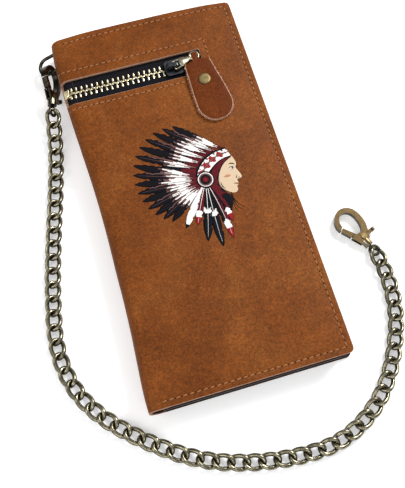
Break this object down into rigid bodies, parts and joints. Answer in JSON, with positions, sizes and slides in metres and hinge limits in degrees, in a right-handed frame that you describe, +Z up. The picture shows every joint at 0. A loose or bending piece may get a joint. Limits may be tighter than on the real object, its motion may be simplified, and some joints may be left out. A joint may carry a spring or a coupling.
{
  "type": "chain wallet",
  "caption": "Long leather bifold wallet with a zipped coin pocket on its front cover, card slots inside, and a link chain with a clasp at each end.",
  "frame": {"origin": "middle of the back cover's outer face, on the surface that the wallet lies on", "axes": "+X from the spine to the free long edge, +Y along the spine to the end with the zip, +Z up out of the back cover towards the front cover"},
  "size_m": [0.1653, 0.231, 0.019],
  "materials": {
    "tan_leather": "waxed saddle-tan leather with darker burnishing",
    "tag_leather": "glossy saddle-brown leather with a raw pale edge",
    "dark_leather": "very dark brown smooth leather",
    "lining_cloth": "black woven lining",
    "black_tape": "black woven zip tape",
    "tan_thread": "waxed tan thread",
    "zip_brass": "pale polished brass",
    "antique_brass": "antique brass, dark in the hollows and worn bright on the high spots",
    "spring_steel": "plain"
  },
  "bodies": {
    "back_half": {"back_cover": "tan_leather", "spine_cover": "tan_leather", "back_stitching": "tan_thread", "back_lining": "lining_cloth", "note_divider": "dark_leather", "back_panel": "dark_leather", "card_slot_back_1": "dark_leather", "card_slot_back_2": "dark_leather", "card_slot_back_3": "dark_leather", "card_slot_back_4": "dark_leather", "card_slot_back_5": "dark_leather", "card_slot_back_6": "dark_leather", "zip_tail_tape": "black_tape", "zip_bottom_stop": "zip_brass", "ring_tab": "dark_leather", "near_swivel_eye": "antique_brass", "far_swivel_eye": "antique_brass", "chain": "antique_brass"},
    "front_half": {"front_cover": "tan_leather", "front_stitching": "tan_thread", "zip_stitching": "tan_thread", "front_panel": "dark_leather", "coin_pouch": "lining_cloth", "card_slot_front_1": "dark_leather", "card_slot_front_2": "dark_leather", "card_slot_front_3": "dark_leather", "card_slot_front_4": "dark_leather", "card_slot_front_5": "dark_leather"},
    "zip_upper_side": {"zip_tape_upper": "black_tape", "zip_teeth_upper": "zip_brass", "zip_stop_upper": "zip_brass"},
    "zip_lower_side": {"zip_tape_lower": "black_tape", "zip_teeth_lower": "zip_brass", "zip_stop_lower": "zip_brass"},
    "slider": {"zip_slider": "antique_brass"},
    "pull": {"pull_tab": "antique_brass"},
    "tag": {"puller_tag": "tag_leather", "puller_rivet": "antique_brass"},
    "ring": {"d_ring": "antique_brass"},
    "near_clasp": {"near_clasp_body": "antique_brass", "near_gate_pin": "antique_brass", "near_gate_spring": "spring_steel"},
    "near_gate_lever": {"near_gate": "antique_brass"},
    "far_clasp": {"far_clasp_body": "antique_brass", "far_gate_pin": "antique_brass", "far_gate_spring": "spring_steel"},
    "far_gate_lever": {"far_gate": "antique_brass"}
  },
  "joints": [
    {"name": "fold", "type": "hinge", "parent": "back_half", "child": "front_half", "pos_m": [-0.0465, 0, 0.01475], "axis": [0, -1, 0], "range_deg": [0, 179]},
    {"name": "zip_slide", "type": "slide", "parent": "front_half", "child": "slider", "axis": [-1, 0, 0], "range_m": [0, 0.038], "deforming": ["zip_tape_upper", "zip_teeth_upper", "zip_tape_lower", "zip_teeth_lower"]},
    {"name": "zip_upper_open", "type": "hinge", "parent": "front_half", "child": "zip_upper_side", "pos_m": [-0.041, 0.0652, 0.0135], "axis": [0, 0, 1], "range_deg": [0, 2.1]},
    {"name": "zip_lower_open", "type": "hinge", "parent": "front_half", "child": "zip_lower_side", "pos_m": [-0.041, 0.0652, 0.0135], "axis": [0, 0, -1], "range_deg": [0, 2.1]},
    {"name": "pull_lift", "type": "hinge", "parent": "slider", "child": "pull", "pos_m": [0.0104, 0.0652, 0.0169], "axis": [0, -1, 0], "range_deg": [0, 65]},
    {"name": "tag_swing", "type": "hinge", "parent": "pull", "child": "tag", "pos_m": [0.02146, 0.06796, 0.0169], "axis": [0, 0, 1], "range_deg": [0, 45]},
    {"name": "ring_swing", "type": "hinge", "parent": "back_half", "child": "ring", "pos_m": [-0.0442, 0.08797, 0.01049], "axis": [0, 1, 0], "range_deg": [-6, 6]},
    {"name": "near_swivel", "type": "hinge", "parent": "back_half", "child": "near_clasp", "pos_m": [-0.0544, 0.062, 0.0075], "axis": [0.1736, 0.9848, 0], "range_deg": [-2, 8]},
    {"name": "near_gate_hinge", "type": "hinge", "parent": "near_clasp", "child": "near_gate_lever", "pos_m": [-0.05257, 0.07021, 0.00668], "axis": [-0.8925, 0.1574, -0.4226], "range_deg": [0, 24], "stiffness_Nm_per_rad": 0.0005, "springref_deg": -17.19},
    {"name": "far_swivel", "type": "hinge", "parent": "back_half", "child": "far_clasp", "pos_m": [0.0777, -0.0513, 0.0026], "axis": [-0.4179, 0.9085, 0], "continuous": true},
    {"name": "far_gate_hinge", "type": "hinge", "parent": "far_clasp", "child": "far_gate_lever", "pos_m": [0.07501, -0.04329, 0.0026], "axis": [0, 0, -1], "range_deg": [0, 24], "stiffness_Nm_per_rad": 0.0005, "springref_deg": -17.19}
  ],
  "couplings": [
    {"joint": "zip_upper_open", "follows": "zip_slide", "rad_per_m": 0.9635},
    {"joint": "zip_lower_open", "follows": "zip_slide", "rad_per_m": 0.9635}
  ]
}
